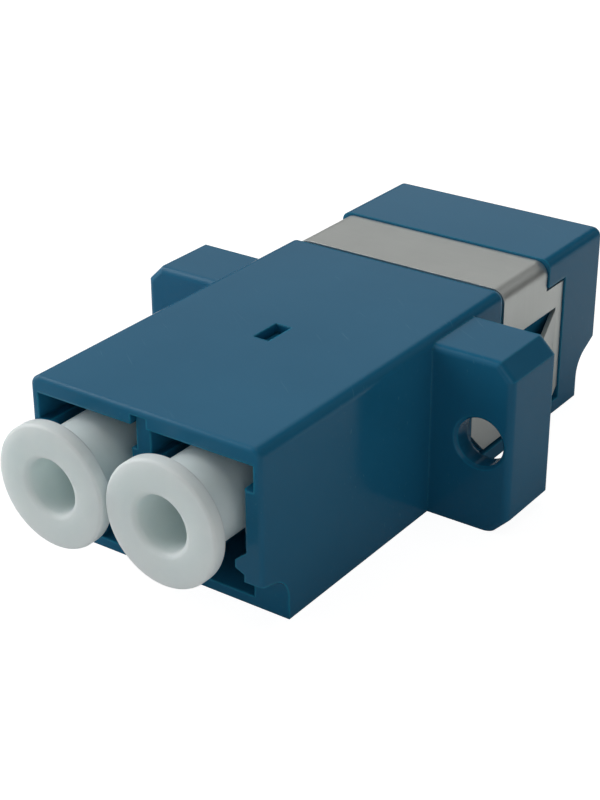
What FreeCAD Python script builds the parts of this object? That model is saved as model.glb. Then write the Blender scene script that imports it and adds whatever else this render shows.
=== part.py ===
import FreeCAD, Part
import enum
import math
import os
import re
import Sketcher

# Flanged duplex LC fibre adapter with a panel clip and two dust caps, in millimetres.
# X runs across the two ports, Y runs from the capped front to the open rear, and Z is up,
# with the latch side of the ports underneath. Each sub-part but the caps is drawn about the
# middle plane, where the two fibres of a pair meet.

SIZES = {
    # housing block and the duct through it
    "body_length": 31.0,
    "body_width": 12.9,
    "body_height": 9.3,
    "long_edge_radius": 0.5,
    "face_edge_radius": 0.2,
    "ceiling_wall": 0.8,
    "floor_wall": 0.5,
    "thin_wall": 0.4,
    "step_level": 7.2,
    "port_pitch": 6.25,
    "port_width": 4.7,
    "axis_drop": 2.45,
    "mouth_chamfer": 0.15,
    "channel_wall": 0.93,
    "channel_top": 2.35,
    # ledges that the plug latches hook behind
    "ledge_bottom": 3.0,
    "ledge_top": 4.0,
    "ledge_reach": 0.48,
    "ledge_slope": 0.2,
    "catch_distance": 8.4,
    # corner reliefs under both mouths
    "relief_depth": 1.95,
    "front_relief_height": 2.62,
    "front_relief_drop": 0.42,
    "front_relief_radius": 1.35,
    "rear_relief_height": 3.05,
    "rear_relief_drop": 1.0,
    "rear_relief_radius": 1.5,
    # flange ears
    "ear_span": 21.7,
    "ear_height": 9.0,
    "ear_thickness": 3.9,
    "ear_chamfer": 0.8,
    "ear_edge_radius": 0.35,
    "ear_front_wall": 1.1,
    "ear_rim": 0.9,
    "hole_inset": 1.7,
    "hole_diameter": 2.5,
    "hole_level": 4.6,
    "hole_chamfer": 0.15,
    # grooves and windows in the top wall, in which the carriers slide and snap
    "groove_width": 0.88,
    "front_groove_depth": 0.48,
    "rear_groove_depth": 0.2,
    "track_offset": 0.15,
    "window_length": 1.8,
    "front_window_distance": 4.7,
    "rear_window_distance": 5.8,
    # panel clip
    "sheet_thickness": 0.25,
    "clip_set": 0.1,
    "clip_seat_gap": 0.02,
    "clip_edge_gap": 0.2,
    "clip_front_gap": 0.45,
    "clip_rear_gap": 0.05,
    "bend_radius": 0.5,
    "strip_start": 5.1,
    "strip_width": 4.5,
    "plate_front": 2.3,
    "plate_rear": 11.45,
    "plate_bottom": 0.95,
    "plate_step": 7.6,
    "plate_corner": 0.5,
    "plate_lead": 1.3,
    "arm_top": 3.3,
    "tab_slot_top": 6.3,
    "tab_inset": 0.7,
    "tab_length": 6.0,
    "tab_bottom": 3.5,
    "tab_top": 6.15,
    "tab_lean": 0.25,
    "tab_taper": 0.3,
    "lip_reach": 0.38,
    "lip_start": 4.3,
    "lip_length": 6.2,
    # carriers with the barrels
    "carrier_gap": 0.05,
    "web_thickness": 1.0,
    "divider_thickness": 0.65,
    "divider_setback": 0.25,
    "barrel_diameter": 2.9,
    "barrel_tip": 4.4,
    "barrel_lead": 0.2,
    "lip_mouth_diameter": 1.9,
    "lip_bore_diameter": 1.4,
    "rib_play": 0.12,
    "nib_width": 0.6,
    "nib_play": 0.1,
    "nib_rise": 0.08,
    # split sleeves
    "sleeve_length": 6.8,
    "sleeve_diameter": 1.6,
    "sleeve_bore": 1.25,
    "sleeve_slit": 0.25,
    "sleeve_play": 0.1,
    # dust caps
    "cap_reach": 2.5,
    "cap_length": 15.8,
    "cap_flange_diameter": 6.1,
    "cap_flange_thickness": 0.75,
    "cap_tube_diameter": 4.3,
    "cap_bore_diameter": 2.7,
    "cap_bore_taper": 0.1,
    "cap_bore_depth": 5.2,
    "cap_web": 1.0,
    "cap_grip_clearance": 0.04,
    "cap_lip_radius": 0.4,
    "cap_rim_radius": 0.3,
    "cap_neck_chamfer": 0.3,
    "cap_end_chamfer": 0.2,
}

# Distances that follow from the sheet.
HALF_LENGTH = "(body_length / 2)"
HALF_WIDTH = "(body_width / 2)"
HALF_EAR = "(ear_thickness / 2)"
WALL_FACE = "((port_pitch + port_width) / 2)"
UPPER_FACE = "(body_width / 2 - thin_wall)"
CEILING = "(body_height - ceiling_wall)"
AXIS = "(body_height - ceiling_wall - axis_drop)"
HOLE_PLACE = "(ear_span / 2 - hole_inset)"
DIVIDER_FACE = "((port_pitch - port_width) / 2)"
CLIP_SIDE = "(body_width / 2 - clip_set)"
CLIP_TOP = "(body_height - clip_set)"
RECESS = "(clip_set + sheet_thickness + clip_seat_gap)"
STRIP_END = "(strip_start + strip_width)"
TAB_ROOT = "(plate_rear - tab_inset)"
TAB_TIP = "(plate_rear - tab_inset - tab_length)"
SLEEVE_HALF_ROOM = "(sleeve_length / 2 + carrier_gap)"
BEYOND = 1.0  # how far a cutting outline runs past the surface that it cuts

# how a sketch numbers the points of a line, an arc or a circle, counting from one
Point = enum.IntEnum("Point", "START END CENTRE")
START, END, CENTRE = Point

SHEET = "Sizes"
doc = FreeCAD.newDocument("LcAdapter")


def fill_sheet():
    """Write each driving size into its own row and give its cell an alias."""
    sheet = doc.addObject("Spreadsheet::Sheet", SHEET)
    for row, (name, size) in enumerate(SIZES.items(), start=1):
        sheet.set(f"A{row}", name)
        sheet.set(f"B{row}", str(size))
        sheet.setAlias(f"B{row}", name)
    doc.recompute()
    return sheet


def formula(text):
    """Turn words that are sizes into references to the sheet."""
    return re.sub(r"[a-z][a-z_]+", lambda word: f"{SHEET}.{word.group(0)}", str(text))


def size(name):
    """The number that the sheet holds for a size."""
    return float(sheet.get(sheet.getCellFromAlias(name)))


def new_body(name):
    """A body whose label names its file."""
    body = doc.addObject("PartDesign::Body", name)
    body.Label = name
    return body


def place(body, across="0", along="cap_reach / 2", up="0"):
    """Put a finished body in the row's frame, whose origin is under the middle of the whole."""
    for axis, text in zip("xyz", (across, along, up)):
        body.setExpression(f"Placement.Base.{axis}", formula(text))


def section(body, name, role, at="0"):
    """A sketch on one of the body's own planes, moved along that plane's normal."""
    plane = next(item for item in body.Origin.OriginFeatures if item.Role == role)
    sketch = body.newObject("Sketcher::SketchObject", name)
    sketch.AttachmentSupport = (plane, [""])
    sketch.MapMode = "FlatFace"
    sketch.setExpression("AttachmentOffset.Base.z", formula(at))
    return sketch


def across_section(body, name, along="0"):
    """A sketch that looks along Y: its axes are X and Z. Its normal points to the front."""
    return section(body, name, "XZ_Plane", f"-({along})")


def side_section(body, name, across="0"):
    """A sketch that looks along X: its axes are Y and Z. Its normal points to +X."""
    return section(body, name, "YZ_Plane", across)


def plan_section(body, name, up="0"):
    """A sketch that looks down: its axes are X and Y. Its normal points up."""
    return section(body, name, "XY_Plane", up)


def hold(sketch, kind, geometry, point, text):
    """Tie one coordinate of a point to the sheet, measured from the sketch's origin."""
    number = sketch.addConstraint(Sketcher.Constraint(kind, -1, 1, geometry, point, 1.0))
    sketch.setExpression(f"Constraints[{number}]", formula(text))


def outline(sketch, corners):
    """A closed outline of straight lines through corners, each tied to the sheet."""
    count = len(corners)
    first = sketch.GeometryCount
    turns = [2 * math.pi * number / count for number in range(count)]
    starts = [FreeCAD.Vector(math.cos(turn), math.sin(turn), 0) for turn in turns]
    for number in range(count):
        sketch.addGeometry(Part.LineSegment(starts[number], starts[(number + 1) % count]))
    for number, (right, up) in enumerate(corners):
        line = first + number
        after = first + (number + 1) % count
        sketch.addConstraint(Sketcher.Constraint("Coincident", line, END, after, START))
        hold(sketch, "DistanceX", line, START, right)
        hold(sketch, "DistanceY", line, START, up)


def rectangle(sketch, left, right, low, high):
    """A rectangle between two pairs of sides."""
    outline(sketch, [(left, low), (right, low), (right, high), (left, high)])


def circle(sketch, right, up, diameter):
    """A circle about a point that is tied to the sheet."""
    number = sketch.addGeometry(Part.Circle(FreeCAD.Vector(), FreeCAD.Vector(0, 0, 1), 1.0))
    hold(sketch, "DistanceX", number, CENTRE, right)
    hold(sketch, "DistanceY", number, CENTRE, up)
    width = sketch.addConstraint(Sketcher.Constraint("Diameter", number, 1.0))
    sketch.setExpression(f"Constraints[{width}]", formula(diameter))


def round_topped(sketch, half, height, radius):
    """A block's section standing on the sketch's level axis, with its two top corners rounded."""
    wide, tall, bend = size(half) / 2, size(height), size(radius)
    turns = [(wide - bend, 0.0), (bend - wide, math.pi / 2)]
    ends = [(-wide, 0), (wide, 0), (wide, tall - bend), (wide - bend, tall), (bend - wide, tall),
            (-wide, tall - bend)]
    points = [FreeCAD.Vector(right, up, 0) for right, up in ends]
    for start, end in ((0, 1), (1, 2), (3, 4), (5, 0)):
        sketch.addGeometry(Part.LineSegment(points[start], points[end]))
    for right, turn in turns:
        bow = Part.Circle(FreeCAD.Vector(right, tall - bend, 0), FreeCAD.Vector(0, 0, 1), bend)
        sketch.addGeometry(Part.ArcOfCircle(bow, turn, turn + math.pi / 2))
    floor, right_side, top, left_side, right_bow, left_bow = range(6)
    loop = [floor, right_side, right_bow, top, left_bow, left_side]
    for number, item in enumerate(loop):
        after = loop[(number + 1) % len(loop)]
        sketch.addConstraint(Sketcher.Constraint("Coincident", item, END, after, START))
    corners = {
        (floor, START): (f"-{half} / 2", "0"),
        (right_side, START): (f"{half} / 2", "0"),
        (right_side, END): (f"{half} / 2", f"{height} - {radius}"),
        (top, START): (f"{half} / 2 - {radius}", height),
        (top, END): (f"{radius} - {half} / 2", height),
        (left_side, START): (f"-{half} / 2", f"{height} - {radius}"),
    }
    for (line, point), (right, up) in corners.items():
        hold(sketch, "DistanceX", line, point, right)
        hold(sketch, "DistanceY", line, point, up)
    for item in (right_bow, left_bow):
        number = sketch.addConstraint(Sketcher.Constraint("Radius", item, bend))
        sketch.setExpression(f"Constraints[{number}]", formula(radius))


def mirrored(corners):
    """The same corners on the other side of the sketch's upright axis."""
    return [(f"-({right})", up) for right, up in corners]


def both_sides(corners):
    """One outline from the corners of its right half, bottom to top, and their mirror."""
    return corners + mirrored(corners)[::-1]


def add(body, sketch, length, along_normal, symmetric=False):
    """Pad a sketch and check that the solid grew."""
    before = body.Shape.Volume if body.Tip else 0.0
    pad = body.newObject("PartDesign::Pad", sketch.Name + "Pad")
    pad.Profile = sketch
    pad.setExpression("Length", formula(length))
    pad.Reversed = not along_normal
    if symmetric:
        pad.SideType = "Symmetric"
    doc.recompute()
    if body.Shape.Volume <= before:
        raise RuntimeError(f"{sketch.Name} adds nothing")
    return pad


def cut(body, sketch, length, along_normal, symmetric=False):
    """Pocket a sketch and check that the solid shrank."""
    before = body.Shape.Volume
    pocket = body.newObject("PartDesign::Pocket", sketch.Name + "Pocket")
    pocket.Profile = sketch
    pocket.setExpression("Length", formula(length))
    pocket.Reversed = along_normal
    if symmetric:
        pocket.SideType = "Symmetric"
    doc.recompute()
    if body.Shape.Volume >= before:
        raise RuntimeError(f"{sketch.Name} cuts nothing")
    return pocket


def revolve(body, sketch):
    """Turn a sketch about its own upright axis."""
    turned = body.newObject("PartDesign::Revolution", sketch.Name + "Turned")
    turned.Profile = sketch
    turned.ReferenceAxis = (sketch, ["V_Axis"])
    turned.Angle = 360
    doc.recompute()
    return turned


def edges_where(body, test):
    """Names of the edges of a body's last feature whose ends and middle all pass a test."""
    names = []
    for number, edge in enumerate(body.Tip.Shape.Edges, start=1):
        middle = edge.valueAt((edge.FirstParameter + edge.LastParameter) / 2)
        points = [vertex.Point for vertex in edge.Vertexes] + [middle]
        if all(test(point) for point in points):
            names.append(f"Edge{number}")
    if not names:
        raise RuntimeError(f"{body.Name} has no such edge")
    return names


def dress(body, kind, name, edges, sheet_name):
    """A fillet or chamfer, sized from the sheet, on edges of the body's last feature."""
    base = body.Tip
    feature = body.newObject(f"PartDesign::{kind}", name)
    feature.Base = (base, edges)
    amount = "Radius" if kind == "Fillet" else "Size"
    feature.setExpression(amount, formula(sheet_name))
    doc.recompute()
    return feature


def near(one, other):
    """Whether two lengths are the same, within what rounding leaves."""
    return abs(one - other) < 1e-4


def duct_half(gap):
    """Right half of the duct's section, bottom to top, drawn in by a gap on every side.

    The latch channel at the bottom is narrower than the room under the ledge.
    """
    wall = f"({WALL_FACE} - {gap})"
    tip = f"({WALL_FACE} - ledge_reach - {gap})"
    channel = f"({WALL_FACE} - channel_wall - {gap})"
    return [
        (channel, f"floor_wall + {gap}"),
        (channel, f"channel_top + {gap}"),
        (wall, f"channel_top + {gap}"),
        (wall, f"ledge_bottom - {gap}"),
        (tip, f"ledge_bottom + ledge_slope - {gap}"),
        (tip, f"ledge_top - 2 * ledge_slope + {gap}"),
        (wall, f"ledge_top + {gap}"),
        (wall, f"step_level + {gap}"),
        (f"{UPPER_FACE} - {gap}", f"step_level + {gap}"),
        (f"{UPPER_FACE} - {gap}", f"{CEILING} - {gap}"),
    ]


def add_ears(housing):
    """One slab across the block, with bevelled outer corners and softened front edges."""
    sketch = across_section(housing, "Ears", f"-{HALF_EAR}")
    side = "(ear_span / 2)"
    outline(sketch, both_sides([
        (f"{side} - ear_chamfer", "0"),
        (side, "ear_chamfer"),
        (side, "ear_height - ear_chamfer"),
        (f"{side} - ear_chamfer", "ear_height"),
    ]))
    add(housing, sketch, "ear_thickness", along_normal=False)
    front = -size("ear_thickness") / 2

    def on_front_rim(point):
        return near(point.y, front)

    dress(housing, "Fillet", "EarEdges", rim_above_floor(housing, on_front_rim), "ear_edge_radius")


def rim_above_floor(body, test):
    """Edges that pass a test, without those that lie in the underside."""
    floor = edges_where(body, lambda point: near(point.z, 0))
    return [name for name in edges_where(body, test) if name not in floor]


def add_block(housing):
    """The block that the duct runs through, with softened outer edges at both end faces."""
    block = across_section(housing, "Block", f"-{HALF_LENGTH}")
    round_topped(block, "body_width", "body_height", "long_edge_radius")
    add(housing, block, "body_length", along_normal=False)
    end = size("body_length") / 2

    def on_face_rim(point):
        return near(abs(point.y), end)

    dress(housing, "Fillet", "FaceEdges", rim_above_floor(housing, on_face_rim), "face_edge_radius")


def hollow_duct(housing):
    """The duct for both ports, with latch ledges only near the mouths."""
    sketch = across_section(housing, "Duct", f"-{HALF_LENGTH}")
    outline(sketch, both_sides(duct_half("0")))
    cut(housing, sketch, "body_length", along_normal=False)

    catches = across_section(housing, "CatchRoom", "-catch_distance")
    ledge = [
        (f"{WALL_FACE} - ledge_reach", "ledge_bottom"),
        (WALL_FACE, "ledge_bottom"),
        (WALL_FACE, "ledge_top"),
        (f"{WALL_FACE} - ledge_reach", "ledge_top"),
    ]
    outline(catches, ledge)
    outline(catches, mirrored(ledge))
    cut(housing, catches, "2 * catch_distance", along_normal=False)


def bevel_mouths(housing):
    """A lead-in on the upright port walls at both mouths."""
    wall = (size("port_pitch") + size("port_width")) / 2
    end = size("body_length") / 2

    def on_mouth(point):
        return near(abs(point.x), wall) and near(abs(point.y), end) and point.z > size("ledge_top") - 1e-3

    dress(housing, "Chamfer", "MouthLeadIn", edges_where(housing, on_mouth), "mouth_chamfer")


def cut_snap_track(housing, end, distance, depth):
    """Groove under the top wall, from one mouth to a window in which a carrier's nib snaps."""
    front = end == "Front"
    way = "-" if front else ""
    centre = "-track_offset" if front else "track_offset"
    left = f"{centre} - groove_width / 2"
    right = f"{centre} + groove_width / 2"
    groove = across_section(housing, f"{end}Groove", f"{way}{HALF_LENGTH}")
    rectangle(groove, left, right, f"{CEILING} - {depth}", f"{CEILING} + {depth}")
    cut(housing, groove, f"{HALF_LENGTH} - {distance}", along_normal=not front)
    window = plan_section(housing, f"{end}Window", "body_height")
    rectangle(window, left, right, f"{way}{distance}", f"{way}({distance} + window_length)")
    cut(housing, window, "ceiling_wall", along_normal=False)


def relieve_corners(housing, end, height, drop, radius):
    """Open the latch side of a mouth: floor and side walls stand back under a rounded corner."""
    way = "-" if end == "front" else ""
    sketch = side_section(housing, f"{end}Relief")
    inner = f"{way}({HALF_LENGTH} - relief_depth)"
    face = f"{way}{HALF_LENGTH}"
    outline(sketch, [
        (face, f"-{BEYOND}"),
        (inner, f"-{BEYOND}"),
        (inner, f"{height} - {drop}"),
        (face, height),
    ])
    cut(housing, sketch, f"body_width + {BEYOND}", along_normal=True, symmetric=True)
    back = size("body_length") / 2 - size("relief_depth")
    level = size(height) - size(drop)
    side = -1 if end == "front" else 1

    def in_corner(point):
        return near(point.y, side * back) and near(point.z, level)

    dress(housing, "Fillet", f"{end}ReliefCorner", edges_where(housing, in_corner), radius)


def core_ears(housing):
    """Hollow each ear from behind to an even wall, and bore its screw hole."""
    cores = across_section(housing, "EarCores", HALF_EAR)
    core = [
        (HALF_WIDTH, "ear_rim"),
        ("ear_span / 2 - ear_rim", "ear_rim"),
        ("ear_span / 2 - ear_rim", "ear_height - ear_rim"),
        (HALF_WIDTH, "ear_height - ear_rim"),
    ]
    outline(cores, core)
    outline(cores, mirrored(core))
    cut(housing, cores, "ear_thickness - ear_front_wall", along_normal=True)

    holes = across_section(housing, "ScrewHoles", f"-{HALF_EAR}")
    for side in ("", "-"):
        circle(holes, f"{side}{HOLE_PLACE}", "hole_level", "hole_diameter")
    cut(housing, holes, "ear_thickness", along_normal=False)
    front = -size("ear_thickness") / 2
    radius = size("hole_diameter") / 2
    centre = size("ear_span") / 2 - size("hole_inset")

    def on_hole(point):
        away = math.hypot(abs(point.x) - centre, point.z - size("hole_level"))
        return near(point.y, front) and near(away, radius)

    dress(housing, "Chamfer", "HoleEdges", edges_where(housing, on_hole), "hole_chamfer")


def sink_clip_seat(housing):
    """A recess round the top and both sides, as deep as the clip's sheet, and its lip slots."""
    low = "(plate_bottom - clip_edge_gap)"
    band = across_section(housing, "StripSeat", "strip_start - clip_front_gap")
    outline(band, both_sides([
        (f"{HALF_WIDTH} - {RECESS}", low),
        (f"{HALF_WIDTH} + {BEYOND}", low),
        (f"{HALF_WIDTH} + {BEYOND}", f"body_height + {BEYOND}"),
    ]) + [
        (f"-({HALF_WIDTH} - {RECESS})", f"body_height - {RECESS}"),
        (f"{HALF_WIDTH} - {RECESS}", f"body_height - {RECESS}"),
    ])
    cut(housing, band, "clip_front_gap + strip_width + clip_rear_gap", along_normal=False)
    core_side = size("body_width") / 2 - seat_depth()
    core_top = size("body_height") - seat_depth()

    def on_core_edge(point):
        return near(abs(point.x), core_side) and near(point.z, core_top)

    dress(housing, "Fillet", "SeatEdges", edges_where(housing, on_core_edge), "bend_radius")

    for name, side, inward in (("Right", "", False), ("Left", "-", True)):
        seat = side_section(housing, f"{name}PlateSeat", f"{side}{HALF_WIDTH}")
        rectangle(seat, "plate_front - clip_edge_gap", "strip_start", low, "arm_top + clip_edge_gap")
        rectangle(seat, STRIP_END, "plate_rear + clip_rear_gap", low, "plate_step + clip_edge_gap")
        cut(housing, seat, RECESS, along_normal=inward)
        slot = side_section(housing, f"{name}LipSlot", f"{side}({HALF_WIDTH} - {RECESS})")
        rectangle(slot, "lip_start - clip_edge_gap", "lip_start + lip_length + clip_edge_gap",
                  low, "plate_bottom + sheet_thickness + clip_seat_gap")
        cut(housing, slot, "lip_reach + clip_seat_gap", along_normal=inward)


def seat_depth():
    """How deep the clip's recess is."""
    return size("clip_set") + size("sheet_thickness") + size("clip_seat_gap")


def make_housing():
    """The outer moulding: block, ears, duct, snap tracks, reliefs and clip seat."""
    housing = new_body("housing")
    add_ears(housing)
    add_block(housing)
    hollow_duct(housing)
    bevel_mouths(housing)
    cut_snap_track(housing, "Front", "front_window_distance", "front_groove_depth")
    cut_snap_track(housing, "Rear", "rear_window_distance", "rear_groove_depth")
    for end_name in ("front", "rear"):
        relieve_corners(housing, end_name, f"{end_name}_relief_height", f"{end_name}_relief_drop",
                        f"{end_name}_relief_radius")
    core_ears(housing)
    sink_clip_seat(housing)
    place(housing)


def cut_funnel(carrier, name, across):
    """A lead-in that narrows from a barrel's tip to the lip that keeps the sleeve in."""
    plane = next(item for item in carrier.Origin.OriginFeatures if item.Role == "XZ_Plane")
    before = carrier.Shape.Volume
    funnel = carrier.newObject("PartDesign::SubtractiveCone", name)
    funnel.AttachmentSupport = (plane, [""])
    funnel.MapMode = "FlatFace"
    for axis, text in zip("xyz", (across, AXIS, SLEEVE_HALF_ROOM)):
        funnel.setExpression(f"AttachmentOffset.Base.{axis}", formula(text))
    funnel.setExpression("Radius1", formula("lip_bore_diameter / 2"))
    funnel.setExpression("Radius2", formula("lip_mouth_diameter / 2"))
    funnel.setExpression("Height", formula(f"barrel_tip - {SLEEVE_HALF_ROOM}"))
    doc.recompute()
    if carrier.Shape.Volume >= before:
        raise RuntimeError(f"{name} cuts nothing")


def make_carrier(name, distance, depth, half_turn):
    """Inner moulding, drawn pointing to the front: web, two barrels and the wall between ports."""
    carrier = new_body(name)
    web = across_section(carrier, "Web")
    outline(web, both_sides(duct_half("carrier_gap")))
    add(carrier, web, "web_thickness", along_normal=True)

    wall = across_section(carrier, "Divider")
    upper = "divider_thickness / 2"
    outline(wall, both_sides([
        (DIVIDER_FACE, "floor_wall + carrier_gap"),
        (DIVIDER_FACE, "step_level"),
        (upper, "step_level"),
        (upper, f"{CEILING} - carrier_gap"),
    ]))
    reach = f"{HALF_LENGTH} - divider_setback"
    add(carrier, wall, reach, along_normal=True)

    ledges = across_section(carrier, "Ledges", "-catch_distance")
    ledge = [
        (DIVIDER_FACE, "ledge_bottom"),
        (f"{DIVIDER_FACE} + ledge_reach", "ledge_bottom + ledge_slope"),
        (f"{DIVIDER_FACE} + ledge_reach", "ledge_top - 2 * ledge_slope"),
        (DIVIDER_FACE, "ledge_top"),
    ]
    outline(ledges, ledge)
    outline(ledges, mirrored(ledge))
    add(carrier, ledges, f"{reach} - catch_distance", along_normal=True)

    relief = side_section(carrier, "LatchRelief")
    rectangle(relief, f"-{HALF_LENGTH}", f"-({HALF_LENGTH} - relief_depth)",
              "0", "front_relief_height")
    cut(carrier, relief, "port_pitch", along_normal=True, symmetric=True)

    catch = f"({distance} + nib_play)"
    rib = across_section(carrier, "Rib", f"-{catch}")
    rectangle(rib, "-track_offset - divider_thickness / 2", "-track_offset + divider_thickness / 2",
              "step_level", f"{CEILING} + {depth} - rib_play")
    add(carrier, rib, f"{reach} - {catch}", along_normal=True)
    nib = side_section(carrier, "Nib", "-track_offset")
    shoulder = f"-({distance} + window_length - nib_play)"
    outline(nib, [
        (f"-{catch}", f"{CEILING} - carrier_gap"),
        (shoulder, f"{CEILING} - carrier_gap"),
        (shoulder, f"{CEILING} + {depth} + nib_rise"),
    ])
    add(carrier, nib, "nib_width", along_normal=True, symmetric=True)

    barrels = across_section(carrier, "Barrels")
    rooms = across_section(carrier, "SleeveRooms")
    for side in ("", "-"):
        across = f"{side}port_pitch / 2"
        circle(barrels, across, AXIS, "barrel_diameter")
        circle(rooms, across, AXIS, "sleeve_diameter + 2 * sleeve_play")
    add(carrier, barrels, "barrel_tip", along_normal=True)
    cut(carrier, rooms, SLEEVE_HALF_ROOM, along_normal=True)
    for name, side in (("RightFunnel", ""), ("LeftFunnel", "-")):
        cut_funnel(carrier, name, f"{side}port_pitch / 2")
    tip = -size("barrel_tip")

    axis = size("body_height") - size("ceiling_wall") - size("axis_drop")

    def on_tip(point):
        away = math.hypot(abs(point.x) - size("port_pitch") / 2, point.z - axis)
        return near(point.y, tip) and near(away, size("barrel_diameter") / 2)

    dress(carrier, "Chamfer", "BarrelLead", edges_where(carrier, on_tip), "barrel_lead")
    place(carrier)
    if half_turn:
        carrier.Placement = FreeCAD.Placement(
            carrier.Placement.Base, FreeCAD.Rotation(FreeCAD.Vector(0, 0, 1), 180))
        place(carrier)


def make_clip():
    """One strip of sheet: over the top, down both sides, a lip turned in and a sprung tab."""
    clip = new_body("panel_clip")
    leg = "(body_height - clip_set - 2 * bend_radius - 2 * sheet_thickness)"
    strip = across_section(clip, "Strip", "strip_start")
    outline(strip, both_sides([
        (f"{CLIP_SIDE} - sheet_thickness", leg),
        (CLIP_SIDE, leg),
        (CLIP_SIDE, CLIP_TOP),
    ]) + [
        (f"-({CLIP_SIDE} - sheet_thickness)", f"{CLIP_TOP} - sheet_thickness"),
        (f"{CLIP_SIDE} - sheet_thickness", f"{CLIP_TOP} - sheet_thickness"),
    ])
    add(clip, strip, "strip_width", along_normal=False)
    outer = size("body_width") / 2 - size("clip_set")
    top = size("body_height") - size("clip_set")
    thickness = size("sheet_thickness")

    def on_outer_bend(point):
        return near(abs(point.x), outer) and near(point.z, top)

    def on_inner_bend(point):
        return near(abs(point.x), outer - thickness) and near(point.z, top - thickness)

    dress(clip, "Fillet", "InnerBends", edges_where(clip, on_inner_bend), "bend_radius")
    dress(clip, "Fillet", "OuterBends", edges_where(clip, on_outer_bend),
          "bend_radius + sheet_thickness")

    plate = [
        ("plate_front", "arm_top"),
        ("plate_front", "plate_bottom + plate_lead"),
        ("plate_front + plate_lead", "plate_bottom"),
        ("plate_rear - plate_corner", "plate_bottom"),
        ("plate_rear", "plate_bottom + plate_corner"),
        ("plate_rear", "plate_step"),
        (STRIP_END, "plate_step"),
        (STRIP_END, leg),
        ("strip_start", leg),
        ("strip_start", "tab_slot_top"),
        (TAB_ROOT, "tab_slot_top"),
        (TAB_ROOT, "arm_top"),
    ]
    for name, side, inward in (("Right", "", False), ("Left", "-", True)):
        sketch = side_section(clip, f"{name}Plate", f"{side}{CLIP_SIDE}")
        outline(sketch, plate)
        add(clip, sketch, "sheet_thickness", along_normal=inward)

    lips = across_section(clip, "Lips", "lip_start")
    lip = [
        (f"{CLIP_SIDE} - sheet_thickness - lip_reach", "plate_bottom"),
        (CLIP_SIDE, "plate_bottom"),
        (CLIP_SIDE, "plate_bottom + sheet_thickness"),
        (f"{CLIP_SIDE} - sheet_thickness - lip_reach", "plate_bottom + sheet_thickness"),
    ]
    outline(lips, lip)
    outline(lips, mirrored(lip))
    add(clip, lips, "lip_length", along_normal=False)

    tabs = plan_section(clip, "Tabs", "tab_bottom")
    out = "tab_lean * tab_length"
    tab = [
        (f"{CLIP_SIDE} - sheet_thickness", f"{TAB_ROOT} + sheet_thickness"),
        (CLIP_SIDE, f"{TAB_ROOT} + sheet_thickness"),
        (CLIP_SIDE, TAB_ROOT),
        (f"{CLIP_SIDE} + {out}", TAB_TIP),
        (f"{CLIP_SIDE} + {out} - sheet_thickness", TAB_TIP),
        (f"{CLIP_SIDE} - sheet_thickness", TAB_ROOT),
    ]
    outline(tabs, tab)
    outline(tabs, mirrored(tab))
    add(clip, tabs, "tab_top - tab_bottom", along_normal=True)
    taper = side_section(clip, "TabTaper")
    outline(taper, [
        (TAB_ROOT, "tab_top"),
        (f"{TAB_TIP} - {BEYOND}", f"tab_top - tab_taper * (tab_length + {BEYOND})"),
        (f"{TAB_TIP} - {BEYOND}", "tab_top"),
    ])
    cut(clip, taper, f"body_width + 4 * {BEYOND}", along_normal=True, symmetric=True)
    place(clip)


def make_sleeve(name, side):
    """Split alignment sleeve: a tube with one slit, on the underside."""
    sleeve = new_body(name)
    tube = plan_section(sleeve, "Tube")
    rectangle(tube, "sleeve_bore / 2", "sleeve_diameter / 2", "-sleeve_length / 2", "sleeve_length / 2")
    revolve(sleeve, tube)
    slit = plan_section(sleeve, "Slit")
    rectangle(slit, "-sleeve_slit / 2", "sleeve_slit / 2", "-sleeve_length / 2", "sleeve_length / 2")
    cut(sleeve, slit, "sleeve_diameter", along_normal=False)
    place(sleeve, across=f"{side}port_pitch / 2", up=AXIS)


def make_cap(name, side):
    """Dust cap: a tube with a soft flange, closed by a web between its bore and its socket."""
    cap = new_body(name)
    sketch = plan_section(cap, "Profile")
    socket = "(barrel_diameter / 2 + cap_grip_clearance)"
    outline(sketch, [
        ("0", "cap_bore_depth"),
        ("cap_bore_diameter / 2 - cap_bore_taper", "cap_bore_depth"),
        ("cap_bore_diameter / 2", "0"),
        ("cap_flange_diameter / 2", "0"),
        ("cap_flange_diameter / 2", "cap_flange_thickness"),
        ("cap_tube_diameter / 2", "cap_flange_thickness"),
        ("cap_tube_diameter / 2", "cap_length"),
        (socket, "cap_length"),
        (socket, "cap_bore_depth + cap_web"),
        ("0", "cap_bore_depth + cap_web"),
    ])
    revolve(cap, sketch)

    def ring(radius, along):
        def on_ring(point):
            return near(math.hypot(point.x, point.z), radius) and near(point.y, along)
        return edges_where(cap, on_ring)

    flange = size("cap_flange_diameter") / 2
    thickness = size("cap_flange_thickness")
    tube = size("cap_tube_diameter") / 2
    dress(cap, "Fillet", "Lip", ring(size("cap_bore_diameter") / 2, 0), "cap_lip_radius")
    dress(cap, "Fillet", "Rim", ring(flange, 0), "cap_rim_radius")
    dress(cap, "Chamfer", "Neck", ring(tube, thickness), "cap_neck_chamfer")
    dress(cap, "Chamfer", "Ends", ring(flange, thickness) + ring(tube, size("cap_length")),
          "cap_end_chamfer")
    place(cap, across=f"{side}port_pitch / 2", along=f"-{HALF_LENGTH} - cap_reach / 2",
          up=AXIS)


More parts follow.
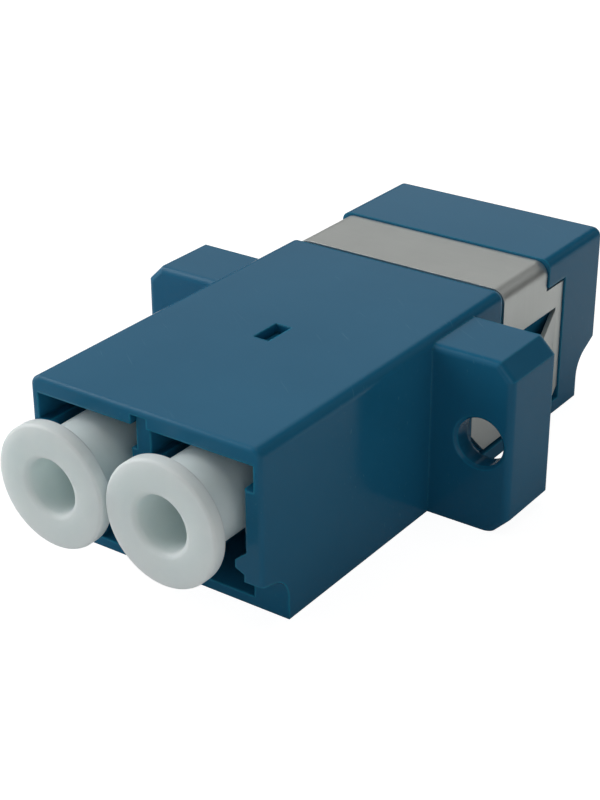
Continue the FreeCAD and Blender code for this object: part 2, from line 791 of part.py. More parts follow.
def check_and_write():
    """Stop on any failed feature or bad solid, then write each body to its own file."""
    doc.recompute()
    for item in doc.Objects:
        if "Invalid" in item.State or "Error" in item.State:
            raise RuntimeError(f"{item.Name} failed: {item.State}")
    bodies = [item for item in doc.Objects if item.TypeId == "PartDesign::Body"]
    for body in bodies:
        shape = body.Shape
        if shape.isNull() or not shape.isValid() or len(shape.Solids) != 1:
            raise RuntimeError(f"{body.Label} isn't one valid solid")
    os.makedirs("parts", exist_ok=True)
    for body in bodies:
        body.Shape.exportStep(f"parts/{body.Label}.step")
        print(f"{body.Label}: {body.Shape.Volume:.2f} mm3")


sheet = fill_sheet()
make_housing()
make_carrier("front_carrier", "front_window_distance", "front_groove_depth", half_turn=False)
make_carrier("rear_carrier", "rear_window_distance", "rear_groove_depth", half_turn=True)
make_clip()
make_sleeve("sleeve_left", "-")
make_sleeve("sleeve_right", "")
make_cap("dust_cap_left", "-")
make_cap("dust_cap_right", "")
check_and_write()
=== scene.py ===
import math

import bmesh
import bpy
from bpy.props import FloatProperty, FloatVectorProperty, PointerProperty
from mathutils import Matrix, Vector


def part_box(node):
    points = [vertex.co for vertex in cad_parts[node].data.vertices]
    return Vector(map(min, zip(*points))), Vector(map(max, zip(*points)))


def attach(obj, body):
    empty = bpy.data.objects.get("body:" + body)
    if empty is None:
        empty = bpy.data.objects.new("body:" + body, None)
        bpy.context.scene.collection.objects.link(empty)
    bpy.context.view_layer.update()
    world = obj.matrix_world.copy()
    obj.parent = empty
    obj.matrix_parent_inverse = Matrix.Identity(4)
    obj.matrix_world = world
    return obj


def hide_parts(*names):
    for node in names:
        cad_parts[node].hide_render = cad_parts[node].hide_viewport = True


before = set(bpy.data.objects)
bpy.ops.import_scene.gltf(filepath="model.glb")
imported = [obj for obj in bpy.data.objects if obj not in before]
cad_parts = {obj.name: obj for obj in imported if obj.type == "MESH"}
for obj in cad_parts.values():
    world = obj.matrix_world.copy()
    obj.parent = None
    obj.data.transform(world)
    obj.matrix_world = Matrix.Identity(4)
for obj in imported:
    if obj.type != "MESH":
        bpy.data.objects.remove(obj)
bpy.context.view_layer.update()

bl_info = {
    "name": "Fibre adapter finish",
    "version": (1, 0, 0),
    "blender": (4, 5, 0),
    "location": "3D View > Sidebar > Adapter",
    "description": "Dresses a flanged fibre adapter in its plastics, steel and ceramic",
    "category": "Object",
}

# A millimetre, in metres.
MM = 0.001

MOULDINGS = ("housing", "front_carrier", "rear_carrier")
SLEEVES = ("sleeve_left", "sleeve_right")
CAP_SIDES = ("left", "right")

# Faces round a cap, and how far its large faces steer the shading of its edges.
CAP_SEGMENTS = 160
FLAT_WEIGHT = 80

# Colours that have no setting of their own, as red, green, blue and alpha.
# The first is a painted highlight, laid along the outer moulded edges.
EDGE_HIGHLIGHT_BLUE = (0.012, 0.3, 0.48, 1.0)
RUBBED_BLUE = (0.08, 0.25, 0.38, 1.0)
DUSTY_BLUE = (0.04, 0.19, 0.32, 1.0)
RUBBED_STEEL = (0.7, 0.7, 0.69, 1.0)
RUBBED_CAP = (0.88, 0.9, 0.9, 1.0)
DUSTY_CAP = (0.4, 0.42, 0.42, 1.0)
WHITE = (1.0, 1.0, 1.0, 1.0)
SEEN_FLOOR = (0.3, 0.3, 0.3, 1.0)

# A turn about Z in radians for each direction that scratches take, and how many of their waves
# go into a metre along X, Y and Z.
SCRATCH_LANES = (
    (0.5, (300.0, 9000.0, 2500.0)),
    (-0.9, (8000.0, 350.0, 2500.0)),
)

# In metres.
FLOOR_WIDTH = 1.6

# From looking along +Y, the camera turns to the left, tilts down and rolls, in radians. Its
# place, the nearest distance that it sees and its sensor are in millimetres.
VIEW_TURN, VIEW_TILT, VIEW_ROLL = 0.6177, 0.4665, -0.0039
VIEW_PLACE = (45.266, -66.060, 44.285)
NEAREST_SEEN = 1.0
SENSOR_WIDTH = 36.0

# The place that all lamps face, and how far from it they are, in millimetres.
LAMP_TARGET = (0.0, 2.0, 5.0)
LAMP_DISTANCE = 400.0

# Each lamp's name, degrees round from the front to the right, degrees up, width in metres and
# power in watts.
LAMPS = (
    ("left", -90.0, 35.0, 0.3, 0.488),
    ("left_front_low", -65.0, 12.0, 0.25, 0.327),
    ("left_front_high", -65.0, 45.0, 0.25, 0.276),
    ("front_left", -40.0, 20.0, 0.25, 0.099),
    ("front_right", 40.0, 20.0, 0.25, 0.15),
    ("right", 90.0, 12.0, 0.25, 0.115),
    ("back_right", 140.0, 35.0, 0.3, 0.035),
    ("back", 180.0, 10.0, 0.25, 0.16),
    ("back_left", -140.0, 35.0, 0.3, 0.115),
    ("top", 0.0, 89.0, 0.3, 0.235),
)


def colour_property(name, description, default):
    """A colour that a user can change."""
    return FloatVectorProperty(name=name, description=description, default=default,
                               size=3, min=0.0, max=1.0, subtype="COLOR")


def share_property(name, description, default):
    """A number from none to all."""
    return FloatProperty(name=name, description=description, default=default,
                         min=0.0, max=1.0, subtype="FACTOR")


def length_property(name, description, default):
    """A small length, in metres."""
    return FloatProperty(name=name, description=description, default=default,
                         min=0.0, precision=6, subtype="DISTANCE", unit="LENGTH")


def angle_property(name, description, degrees):
    """A small turn, given in degrees."""
    return FloatProperty(name=name, description=description, default=math.radians(degrees),
                         precision=3, subtype="ANGLE", unit="ROTATION")


class MouldingLook(bpy.types.PropertyGroup):
    """Finish of the blue mouldings."""
    colour: colour_property("Colour", "Colour of the blue plastic", (0.012, 0.139, 0.26))
    pale: colour_property("Pale tone", "Colour where the melt met last", (0.016, 0.151, 0.278))
    roughness: share_property("Roughness", "How satin the moulded skin is", 0.08)
    grain: length_property("Grain", "Size of the mould's spark texture", 0.00011)
    grain_depth: length_property("Grain depth", "Depth of the spark texture", 0.0000035)
    edge: length_property("Edge", "Radius of the moulded edges", 0.00017)


class SteelLook(bpy.types.PropertyGroup):
    """Finish of the panel clip."""
    colour: colour_property("Colour", "Colour of the rolled steel", (0.69, 0.715, 0.69))
    roughness: share_property("Roughness", "How dull the rolled skin is", 0.42)
    line: length_property("Line", "Spacing of the rolling lines", 0.00006)
    line_depth: length_property("Line depth", "Depth of the rolling lines", 0.0000012)
    edge: length_property("Edge", "Radius of the sheared edges", 0.00004)


class CeramicLook(bpy.types.PropertyGroup):
    """Finish of the split sleeves."""
    colour: colour_property("Colour", "Colour of the zirconia", (0.82, 0.8, 0.74))
    roughness: share_property("Roughness", "How dull the ground skin is", 0.22)
    ring_depth: length_property("Ring depth", "Depth of the grinding rings", 0.0000008)
    edge: length_property("Edge", "Radius of the ground edges", 0.00003)


class CapLook(bpy.types.PropertyGroup):
    """Finish of the soft dust caps."""
    colour: colour_property("Colour", "Colour of the soft plastic", (0.75, 0.855, 0.85))
    cloud: colour_property("Cloud", "Colour where the wall is thicker", (0.8, 0.896, 0.885))
    roughness: share_property("Roughness", "How satin the soft skin is", 0.42)
    glow: share_property("Glow", "How much light spreads inside the wall", 0.85)
    depth: length_property("Depth", "How far light spreads inside the wall", 0.0013)
    grain_depth: length_property("Grain depth", "Depth of the skin's ripple", 0.000004)
    flange: length_property("Flange", "Thickness of the flange", 0.75 * MM)
    tube: length_property("Tube", "Outer radius of the tube", 2.15 * MM)
    bore: length_property("Bore", "Radius of the bore behind its lip", 1.35 * MM)
    bore_depth: length_property("Bore depth", "Depth of the bore", 5.2 * MM)
    socket: length_property("Socket", "Radius of the socket that grips the barrel", 1.49 * MM)
    web: length_property("Web", "Wall between the bore and the socket", 1.0 * MM)
    lip: length_property("Lip", "Rounding of the bore's lip", 0.3 * MM)
    rim: length_property("Rim", "Rounding of the flange's front rim", 0.16 * MM)
    edge: length_property("Edge", "Rounding of the other edges", 0.15 * MM)
    neck: length_property("Neck", "Rounding between tube and flange", 0.3 * MM)
    grip: length_property("Grip", "From the cap's hidden end to where it turns", 1.1 * MM)
    left_droop: angle_property("Left droop", "How far the left cap hangs down", 1.82)
    left_sway: angle_property("Left sway", "How far the left cap leans aside", -0.69)
    right_droop: angle_property("Right droop", "How far the right cap hangs down", 0.99)
    right_sway: angle_property("Right sway", "How far the right cap leans aside", -0.79)


class StageLook(bpy.types.PropertyGroup):
    """Floor, light and camera."""
    floor: colour_property("Floor", "Colour of the floor", (0.86, 0.86, 0.86))
    glow: share_property("Glow", "How bright the floor and the room are seen", 0.94)
    fill: FloatProperty(name="Fill", description="Strength of the light from all round",
                        default=0.012, min=0.0, max=10.0)
    light: FloatProperty(name="Light", description="Strength of all lamps together",
                         default=1.15, min=0.0, max=10.0)
    focal: FloatProperty(name="Focal length", description="Focal length, in millimetres",
                         default=107.11, min=1.0, max=500.0, unit="CAMERA")


class FinishSettings(bpy.types.PropertyGroup):
    """All finishes of the adapter."""
    moulding: PointerProperty(type=MouldingLook, name="Mouldings", description="Blue mouldings")
    steel: PointerProperty(type=SteelLook, name="Steel", description="Panel clip")
    ceramic: PointerProperty(type=CeramicLook, name="Ceramic", description="Split sleeves")
    cap: PointerProperty(type=CapLook, name="Caps", description="Dust caps")
    stage: PointerProperty(type=StageLook, name="Stage", description="Floor, light and camera")


def settle(node, values):
    """Set some of a node's sockets to plain values."""
    for name, value in values.items():
        node.inputs[name].default_value = value


def tone(colour, share=1.0):
    """A colour with its alpha, made lighter or darker by a share."""
    return (*(min(1.0, part * share) for part in colour), 1.0)


class Web:
    """A node tree, with short ways to add and join its nodes."""

    def __init__(self, tree):
        self.tree = tree

    def node(self, kind, **settings):
        """A new node, with its settings."""
        made = self.tree.nodes.new(kind)
        for name, value in settings.items():
            setattr(made, name, value)
        return made

    def join(self, source, target):
        """Link an output to an input."""
        self.tree.links.new(source, target)

    def feed(self, socket, value):
        """Link a socket, or set its number."""
        if isinstance(value, bpy.types.NodeSocket):
            self.join(value, socket)
        else:
            socket.default_value = value

    def sums(self, operation, *terms, clamp=False):
        """The result of a Math node on two or three terms."""
        made = self.node("ShaderNodeMath", operation=operation, use_clamp=clamp)
        for socket, term in zip(made.inputs, terms):
            self.feed(socket, term)
        return made.outputs[0]

    def noise(self, vector, scale, detail=2.0, roughness=0.5):
        """Soft noise, with its scale in waves per metre."""
        made = self.node("ShaderNodeTexNoise")
        self.feed(made.inputs["Vector"], vector)
        self.feed(made.inputs["Scale"], scale)
        settle(made, {"Detail": detail, "Roughness": roughness})
        return made.outputs["Fac"]

    def stretch(self, vector, scale):
        """A vector scaled on each axis."""
        made = self.node("ShaderNodeMapping")
        self.join(vector, made.inputs["Vector"])
        settle(made, {"Scale": scale})
        return made.outputs["Vector"]

    def spread(self, value, start, end, to_start=0.0, to_end=1.0):
        """A value's range from start to end, laid over another range."""
        made = self.node("ShaderNodeMapRange")
        self.feed(made.inputs["Value"], value)
        settle(made, {"From Min": start, "From Max": end, "To Min": to_start, "To Max": to_end})
        return made.outputs["Result"]

    def vary(self, value, middle, below, above, start=0.0, end=1.0):
        """A number that goes from a little below a middle to a little above it."""
        return self.spread(value, start, end, middle - below, middle + above)

    def blend(self, share, one, other):
        """One colour that gives way to another by a share."""
        made = self.node("ShaderNodeMix", data_type="RGBA")
        self.feed(made.inputs["Factor"], share)
        self.feed(made.inputs["A"], one)
        self.feed(made.inputs["B"], other)
        return made.outputs["Result"]

    def seen_apart(self, unseen, seen):
        """A shader for the light that falls on things, and another for what the camera sees."""
        made = self.node("ShaderNodeMixShader")
        self.join(self.node("ShaderNodeLightPath").outputs["Is Camera Ray"], made.inputs[0])
        self.join(unseen, made.inputs[1])
        self.join(seen, made.inputs[2])
        return made.outputs["Shader"]


def shell_group(name, inputs, outputs):
    """An empty node group with named sockets. Returns it with its ends and its web."""
    tree = bpy.data.node_groups.new(name, "ShaderNodeTree")
    for label, kind, default in inputs:
        made = tree.interface.new_socket(label, in_out="INPUT", socket_type=kind)
        if default is not None:
            made.default_value = default
    for label, kind in outputs:
        tree.interface.new_socket(label, in_out="OUTPUT", socket_type=kind)
    web = Web(tree)
    return tree, web, web.node("NodeGroupInput"), web.node("NodeGroupOutput")


def moulded_skin_group():
    """Spark-eroded grain and slow clouding that a mould leaves on plastic."""
    tree, web, given, result = shell_group(
        "Moulded skin",
        [("Vector", "NodeSocketVector", None), ("Grain per metre", "NodeSocketFloat", 9000.0),
         ("Cloud per metre", "NodeSocketFloat", 90.0)],
        [("Cloud", "NodeSocketFloat"), ("Height", "NodeSocketFloat")])
    coarse_share, coarse_height = 0.22, 0.6
    where = given.outputs["Vector"]
    cloud = web.noise(where, given.outputs["Cloud per metre"], detail=3.0, roughness=0.55)
    fine = web.noise(where, given.outputs["Grain per metre"], roughness=0.6)
    coarse_scale = web.sums("MULTIPLY", given.outputs["Grain per metre"], coarse_share)
    coarse = web.noise(where, coarse_scale)
    height = web.sums("MULTIPLY_ADD", coarse, coarse_height, fine)
    web.join(web.spread(cloud, start=0.35, end=0.65), result.inputs["Cloud"])
    web.join(height, result.inputs["Height"])
    return tree


def handling_group():
    """Sparse fine scratches and dust specks, as masks."""
    tree, web, given, result = shell_group(
        "Handling marks",
        [("Vector", "NodeSocketVector", None), ("Amount", "NodeSocketFloat", 0.3)],
        [("Scratches", "NodeSocketFloat"), ("Dust", "NodeSocketFloat")])
    where, amount = given.outputs["Vector"], given.outputs["Amount"]
    lanes = []
    for turn, fineness in SCRATCH_LANES:
        turned = web.node("ShaderNodeVectorRotate", rotation_type="Z_AXIS")
        web.join(where, turned.inputs["Vector"])
        settle(turned, {"Angle": turn})
        drawn = web.noise(web.stretch(turned.outputs["Vector"], fineness), scale=1.0, detail=1.0)
        lanes.append(web.spread(drawn, start=0.73, end=0.78))
    patches = web.spread(web.noise(where, scale=260.0), start=0.48, end=0.62)
    lines = web.sums("MULTIPLY", web.sums("MAXIMUM", *lanes), patches)
    web.join(web.sums("MULTIPLY", lines, amount, clamp=True), result.inputs["Scratches"])
    specks = web.node("ShaderNodeTexVoronoi")
    web.join(where, specks.inputs["Vector"])
    settle(specks, {"Scale": 900.0, "Randomness": 1.0})
    dots = web.spread(specks.outputs["Distance"], start=0.07, end=0.03)
    few = web.spread(web.noise(where, scale=700.0, detail=0.0), start=0.6, end=0.64)
    dust = web.sums("MULTIPLY", dots, few)
    web.join(web.sums("MULTIPLY", dust, amount, clamp=True), result.inputs["Dust"])
    return tree


def painted_edge_highlight_group():
    """A mask of the narrow bands along outer edges, where a painted highlight goes."""
    tree, web, given, result = shell_group(
        "Edge light",
        [("Amount", "NodeSocketFloat", 0.5)],
        [("Mask", "NodeSocketFloat")])
    band_radius, nook_reach = 0.2 * MM, 0.5 * MM
    rounded = web.node("ShaderNodeBevel", samples=8)
    settle(rounded, {"Radius": band_radius})
    flat = web.node("ShaderNodeNewGeometry")
    match = web.node("ShaderNodeVectorMath", operation="DOT_PRODUCT")
    web.join(rounded.outputs["Normal"], match.inputs[0])
    web.join(flat.outputs["True Normal"], match.inputs[1])
    band = web.spread(match.outputs["Value"], start=0.995, end=0.84)
    nook = web.node("ShaderNodeAmbientOcclusion", samples=4)
    settle(nook, {"Distance": nook_reach})
    outward = web.sums("MULTIPLY", band, web.spread(nook.outputs["AO"], start=0.6, end=0.85))
    web.join(web.sums("MULTIPLY", outward, given.outputs["Amount"], clamp=True),
             result.inputs["Mask"])
    return tree


def shared_group(name, builder):
    """The node group of that name, built once."""
    return bpy.data.node_groups.get(name) or builder()


def place_group(web, tree, **values):
    """A group node in a material, with its inputs linked or set."""
    made = web.node("ShaderNodeGroup", node_tree=tree)
    for label, value in values.items():
        web.feed(made.inputs[label.replace("_", " ")], value)
    return made


def fresh_material(name):
    """A material with its own Principled shader, and the web to add to it."""
    material = bpy.data.materials.new(name)
    material.use_nodes = True
    web = Web(material.node_tree)
    shader = next(node for node in web.tree.nodes if node.type == "BSDF_PRINCIPLED")
    where = web.node("ShaderNodeTexCoord").outputs["Object"]
    return material, web, shader, where


def rounded_bump(web, shader, height, depth, edge=0.0):
    """Fine relief over edges that are a little round."""
    bump = web.node("ShaderNodeBump")
    settle(bump, {"Strength": 1.0, "Distance": depth})
    web.join(height, bump.inputs["Height"])
    if edge:
        round_edge = web.node("ShaderNodeBevel", samples=4)
        settle(round_edge, {"Radius": edge})
        web.join(round_edge.outputs["Normal"], bump.inputs["Normal"])
    web.join(bump.outputs["Normal"], shader.inputs["Normal"])


def blue_moulding_material(look):
    """Satin blue moulding plastic: clouded, finely grained, with a few handling marks."""
    material, web, shader, where = fresh_material("Blue moulding plastic")
    skin = place_group(web, shared_group("Moulded skin", moulded_skin_group), Vector=where,
                       Grain_per_metre=1.0 / look.grain, Cloud_per_metre=110.0)
    marks = place_group(web, shared_group("Handling marks", handling_group), Vector=where,
                        Amount=0.35)
    edges = place_group(web, shared_group("Edge light", painted_edge_highlight_group), Amount=0.75)
    clouded = web.blend(skin.outputs["Cloud"], tone(look.colour), tone(look.pale))
    # Painted highlight: the edge mask turns the colour pale blue along outer edges.
    lit = web.blend(edges.outputs["Mask"], clouded, EDGE_HIGHLIGHT_BLUE)
    rubbed = web.blend(marks.outputs["Scratches"], lit, RUBBED_BLUE)
    web.join(web.blend(marks.outputs["Dust"], rubbed, DUSTY_BLUE), shader.inputs["Base Color"])
    dull = web.vary(skin.outputs["Cloud"], look.roughness, below=0.02, above=0.03)
    scratch_dulling = 0.4
    web.join(web.sums("MULTIPLY_ADD", marks.outputs["Scratches"], scratch_dulling, dull),
             shader.inputs["Roughness"])
    settle(shader, {"IOR": 1.5, "Specular IOR Level": 0.19})
    rounded_bump(web, shader, skin.outputs["Height"], look.grain_depth, look.edge)
    return material


def rolled_steel_material(look):
    """Stainless sheet with rolling lines along its length and a slightly clouded skin."""
    material, web, shader, where = fresh_material("Rolled spring steel")
    slenderness = 0.02
    across = 1.0 / look.line
    along = slenderness * across
    lines = web.noise(web.stretch(where, (along, across, along)), scale=1.0, detail=3.0,
                      roughness=0.6)
    cloud = web.noise(where, scale=350.0, detail=3.0, roughness=0.6)
    marks = place_group(web, shared_group("Handling marks", handling_group), Vector=where,
                        Amount=0.5)
    clouded = web.blend(web.spread(cloud, start=0.3, end=0.7), tone(look.colour),
                        tone(look.colour, share=1.06))
    web.join(web.blend(marks.outputs["Scratches"], clouded, RUBBED_STEEL),
             shader.inputs["Base Color"])
    dull = web.vary(lines, look.roughness, below=0.08, above=0.08, start=0.25, end=0.75)
    web.join(dull, shader.inputs["Roughness"])
    settle(shader, {"Metallic": 1.0})
    rounded_bump(web, shader, lines, look.line_depth, look.edge)
    return material


def zirconia_material(look):
    """Ground zirconia: warm white, smooth, with faint rings from grinding."""
    material, web, shader, where = fresh_material("Ground zirconia")
    ring_fineness = (400.0, 16000.0, 400.0)
    rings = web.noise(web.stretch(where, ring_fineness), scale=1.0)
    cloud = web.noise(where, scale=900.0)
    web.join(web.blend(cloud, tone(look.colour), tone(look.colour, share=0.93)),
             shader.inputs["Base Color"])
    dull = web.vary(rings, look.roughness, below=0.05, above=0.08, start=0.3, end=0.7)
    web.join(dull, shader.inputs["Roughness"])
    settle(shader, {"IOR": 2.1, "Coat Weight": 0.2})
    rounded_bump(web, shader, rings, look.ring_depth, look.edge)
    return material


def soft_cap_material(look):
    """Soft milky polyethylene: light spreads in its thin wall, and its skin is faintly rippled."""
    material, web, shader, where = fresh_material("Soft cap plastic")
    skin = place_group(web, shared_group("Moulded skin", moulded_skin_group), Vector=where,
                       Grain_per_metre=5200.0, Cloud_per_metre=420.0)
    marks = place_group(web, shared_group("Handling marks", handling_group), Vector=where,
                        Amount=0.25)
    clouded = web.blend(skin.outputs["Cloud"], tone(look.colour), tone(look.cloud))
    rubbed = web.blend(marks.outputs["Scratches"], clouded, RUBBED_CAP)
    web.join(web.blend(marks.outputs["Dust"], rubbed, DUSTY_CAP), shader.inputs["Base Color"])
    dull = web.vary(skin.outputs["Cloud"], look.roughness, below=0.05, above=0.08)
    web.join(dull, shader.inputs["Roughness"])
    settle(shader, {
        "Subsurface Weight": look.glow,
        "Subsurface Radius": (1.0, 1.0, 0.95),
        "Subsurface Scale": look.depth,
        "IOR": 1.5,
        "Specular IOR Level": 0.4,
    })
    rounded_bump(web, shader, skin.outputs["Height"], look.grain_depth)
    return material


def floor_material(look):
    """Plain pale floor with the faintest unevenness, seen brighter than it lights the object."""
    material, web, shader, where = fresh_material("Pale floor")
    cloud = web.noise(where, scale=14.0, detail=3.0)
    web.join(web.blend(cloud, tone(look.floor), tone(look.floor, share=0.985)),
             shader.inputs["Base Color"])
    settle(shader, {"Roughness": 0.9, "Specular IOR Level": 0.1})
    seen = web.node("ShaderNodeBsdfPrincipled")
    settle(seen, {
        "Base Color": SEEN_FLOOR,
        "Roughness": 1.0,
        "Specular IOR Level": 0.0,
        "Emission Color": WHITE,
        "Emission Strength": look.glow,
    })
    end = next(node for node in web.tree.nodes if node.type == "OUTPUT_MATERIAL")
    web.join(web.seen_apart(shader.outputs["BSDF"], seen.outputs["BSDF"]),
             end.inputs["Surface"])
    return material


def dress(node, material):
    """Put a material in every slot of a CAD node."""
    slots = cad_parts[node].material_slots
    if not slots:
        raise RuntimeError(f"{node} has no material slot")
    for slot in slots:
        slot.material = material


class ADAPTER_OT_dress_mouldings(bpy.types.Operator):
    """Give the housing and both carriers their blue plastic"""
    bl_idname = "adapter.dress_mouldings"
    bl_label = "Dress mouldings"

    def execute(self, context):
        material = blue_moulding_material(context.scene.adapter_finish.moulding)
        for node in MOULDINGS:
            dress(node, material)
        return {"FINISHED"}


class ADAPTER_OT_dress_clip(bpy.types.Operator):
    """Give the panel clip its rolled steel"""
    bl_idname = "adapter.dress_clip"
    bl_label = "Dress panel clip"

    def execute(self, context):
        dress("panel_clip", rolled_steel_material(context.scene.adapter_finish.steel))
        return {"FINISHED"}


class ADAPTER_OT_dress_sleeves(bpy.types.Operator):
    """Give the split sleeves their zirconia"""
    bl_idname = "adapter.dress_sleeves"
    bl_label = "Dress sleeves"

    def execute(self, context):
        material = zirconia_material(context.scene.adapter_finish.ceramic)
        for node in SLEEVES:
            dress(node, material)
        return {"FINISHED"}


def bow(centre, radius, start, end, steps=8):
    """Points of a quarter turn or less in a profile, between two angles in degrees."""
    turns = [math.radians(start + (end - start) * step / steps) for step in range(steps + 1)]
    return [(centre[0] + radius * math.cos(turn), centre[1] + radius * math.sin(turn))
            for turn in turns]


def cap_profile(look, flange, length):
    """Half section of a cap as (radius, distance behind its face), from bore floor to web."""
    lip, rim, edge, neck = look.lip, look.rim, look.edge, look.neck
    floor = look.bore_depth
    back = look.flange
    web = floor + look.web
    return (
        [(0.0, floor)]
        + bow((look.bore - 2.0 * edge, floor - edge), edge, 90.0, 0.0)
        + bow((look.bore + lip, lip), lip, 180.0, 270.0)
        + bow((flange - rim, rim), rim, 270.0, 360.0)
        + bow((flange - edge, back - edge), edge, 0.0, 90.0)
        + bow((look.tube + neck, back + neck), neck, 270.0, 180.0)
        + bow((look.tube - edge, length - edge), edge, 0.0, 90.0)
        + [(look.socket, length), (look.socket, web), (0.0, web)]
    )


def spun(name, profile, segments=CAP_SEGMENTS):
    """A smooth solid of revolution about Y, from a half section that starts and ends on Y."""
    shape = bmesh.new()
    rings = []
    for radius, along in profile:
        if radius == 0.0:
            rings.append([shape.verts.new((0.0, along, 0.0))] * segments)
            continue
        turns = [2.0 * math.pi * number / segments for number in range(segments)]
        rings.append([shape.verts.new((radius * math.cos(turn), along, radius * math.sin(turn)))
                      for turn in turns])
    for one, other in zip(rings, rings[1:]):
        for number in range(segments):
            after = (number + 1) % segments
            corners = [one[number], one[after], other[after], other[number]]
            shape.faces.new(list(dict.fromkeys(corners)))
    bmesh.ops.recalc_face_normals(shape, faces=shape.faces)
    mesh = bpy.data.meshes.new(name)
    shape.to_mesh(mesh)
    shape.free()
    mesh.shade_smooth()
    made = bpy.data.objects.new(name, mesh)
    bpy.context.scene.collection.objects.link(made)
    made.modifiers.new("Even flats", "WEIGHTED_NORMAL").weight = FLAT_WEIGHT
    return made


def seat_cap(cap, look, side, low, high):
    """Put a cap where its CAD node is, leaning a little on the barrel that it grips."""
    axis = (low + high) / 2.0
    place = Vector((axis.x, low.y, axis.z))
    pivot = Vector((axis.x, high.y - look.grip, axis.z))
    droop = Matrix.Rotation(getattr(look, f"{side}_droop"), 4, "X")
    sway = Matrix.Rotation(getattr(look, f"{side}_sway"), 4, "Z")
    cap.matrix_world = (Matrix.Translation(pivot) @ sway @ droop @ Matrix.Translation(-pivot)
                        @ Matrix.Translation(place))


class ADAPTER_OT_make_caps(bpy.types.Operator):
    """Make both soft dust caps, leaning as the loose caps do"""
    bl_idname = "adapter.make_caps"
    bl_label = "Make dust caps"

    def execute(self, context):
        look = context.scene.adapter_finish.cap
        material = soft_cap_material(look)
        for side in CAP_SIDES:
            low, high = (Vector(corner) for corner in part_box(f"dust_cap_{side}"))
            profile = cap_profile(look, (high.x - low.x) / 2.0, high.y - low.y)
            cap = spun(f"soft_cap_{side}", profile)
            cap.data.materials.append(material)
            seat_cap(cap, look, side, low, high)
            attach(cap, f"{side}_cap")
            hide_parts(f"dust_cap_{side}")
        return {"FINISHED"}


def area_lamp(name, turn, height, size, power):
    """A large square lamp that faces the object. Turn 0 is in front, and 90 on the right."""
    turn, height = math.radians(turn), math.radians(height)
    away = Vector((math.sin(turn) * math.cos(height), -math.cos(turn) * math.cos(height),
                   math.sin(height)))
    data = bpy.data.lights.new(name, "AREA")
    data.shape = "SQUARE"
    data.size = size
    data.energy = power
    lamp = bpy.data.objects.new(name, data)
    bpy.context.scene.collection.objects.link(lamp)
    lamp.location = (Vector(LAMP_TARGET) + away * LAMP_DISTANCE) * MM
    lamp.rotation_euler = (-away).to_track_quat("-Z", "Y").to_euler()


def soft_room(look):
    """A white room that hardly lights the object by itself."""
    world = bpy.data.worlds.new("Soft room")
    world.use_nodes = True
    web = Web(world.node_tree)
    fill = web.tree.nodes["Background"]
    settle(fill, {"Color": WHITE, "Strength": look.fill})
    seen = web.node("ShaderNodeBackground")
    settle(seen, {"Color": WHITE, "Strength": 1.0})
    web.join(web.seen_apart(fill.outputs["Background"], seen.outputs["Background"]),
             web.tree.nodes["World Output"].inputs["Surface"])
    return world


def view_camera(look):
    """The camera, in its place and turned to the object."""
    data = bpy.data.cameras.new("View")
    data.sensor_fit = "HORIZONTAL"
    data.sensor_width = SENSOR_WIDTH
    data.lens = look.focal
    data.clip_start = NEAREST_SEEN * MM
    camera = bpy.data.objects.new("View", data)
    bpy.context.scene.collection.objects.link(camera)
    level = Vector((math.cos(VIEW_TURN), math.sin(VIEW_TURN), 0.0))
    ahead = Vector((-math.sin(VIEW_TURN) * math.cos(VIEW_TILT),
                    math.cos(VIEW_TURN) * math.cos(VIEW_TILT), -math.sin(VIEW_TILT)))
    upward = level.cross(ahead)
    right = level * math.cos(VIEW_ROLL) + upward * math.sin(VIEW_ROLL)
    top = upward * math.cos(VIEW_ROLL) - level * math.sin(VIEW_ROLL)
    pose = Matrix((right, top, -ahead)).transposed().to_4x4()
    pose.translation = Vector(VIEW_PLACE) * MM
    camera.matrix_world = pose
    return camera


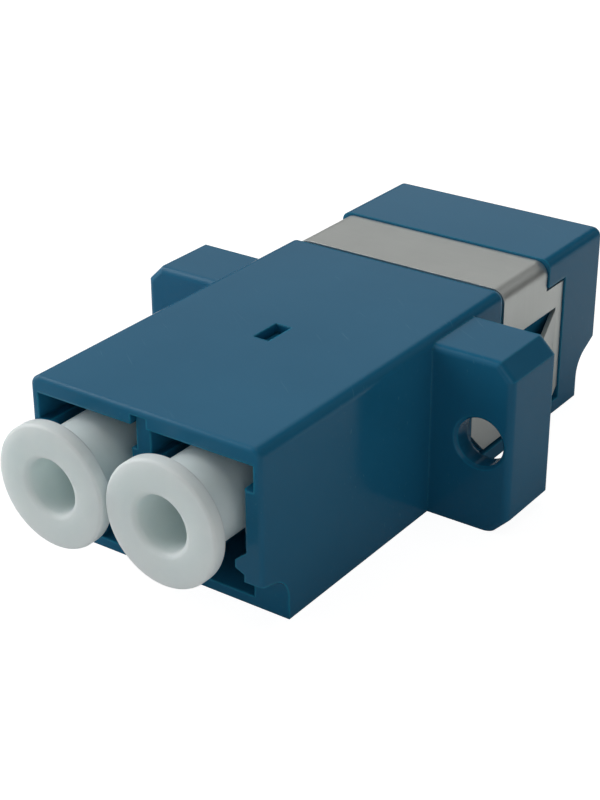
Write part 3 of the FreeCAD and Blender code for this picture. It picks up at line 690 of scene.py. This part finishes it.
class ADAPTER_OT_set_stage(bpy.types.Operator):
    """Set up the pale floor, the soft light and the camera"""
    bl_idname = "adapter.set_stage"
    bl_label = "Set stage"

    def execute(self, context):
        scene = context.scene
        look = scene.adapter_finish.stage
        bpy.ops.mesh.primitive_plane_add(size=FLOOR_WIDTH, location=(0.0, 0.0, 0.0))
        floor = context.object
        floor.name = "floor"
        floor.data.materials.append(floor_material(look))

        scene.world = soft_room(look)
        for name, turn, height, size, power in LAMPS:
            area_lamp(name, turn, height, size, power * look.light)

        scene.camera = view_camera(look)
        scene.view_settings.view_transform = "Standard"
        return {"FINISHED"}


class ADAPTER_PT_finish(bpy.types.Panel):
    """Buttons for each piece, and the sizes and colours that they use"""
    bl_idname = "ADAPTER_PT_finish"
    bl_label = "Adapter finish"
    bl_space_type = "VIEW_3D"
    bl_region_type = "UI"
    bl_category = "Adapter"

    def draw(self, context):
        settings = context.scene.adapter_finish
        groups = (
            (ADAPTER_OT_dress_mouldings, settings.moulding),
            (ADAPTER_OT_dress_clip, settings.steel),
            (ADAPTER_OT_dress_sleeves, settings.ceramic),
            (ADAPTER_OT_make_caps, settings.cap),
            (ADAPTER_OT_set_stage, settings.stage),
        )
        for operator, look in groups:
            box = self.layout.box()
            box.operator(operator.bl_idname)
            for name in look.__annotations__:
                box.prop(look, name)


CLASSES = (
    MouldingLook,
    SteelLook,
    CeramicLook,
    CapLook,
    StageLook,
    FinishSettings,
    ADAPTER_OT_dress_mouldings,
    ADAPTER_OT_dress_clip,
    ADAPTER_OT_dress_sleeves,
    ADAPTER_OT_make_caps,
    ADAPTER_OT_set_stage,
    ADAPTER_PT_finish,
)


def register():
    """Add the classes, and the settings that they share."""
    for item in CLASSES:
        bpy.utils.register_class(item)
    bpy.types.Scene.adapter_finish = PointerProperty(type=FinishSettings)


def unregister():
    """Take the settings and the classes away again."""
    del bpy.types.Scene.adapter_finish
    for item in reversed(CLASSES):
        bpy.utils.unregister_class(item)


def main():
    """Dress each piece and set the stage."""
    register()
    bpy.ops.adapter.dress_mouldings()
    bpy.ops.adapter.dress_clip()
    bpy.ops.adapter.dress_sleeves()
    bpy.ops.adapter.make_caps()
    bpy.ops.adapter.set_stage()


if __name__ == "__main__":
    main()
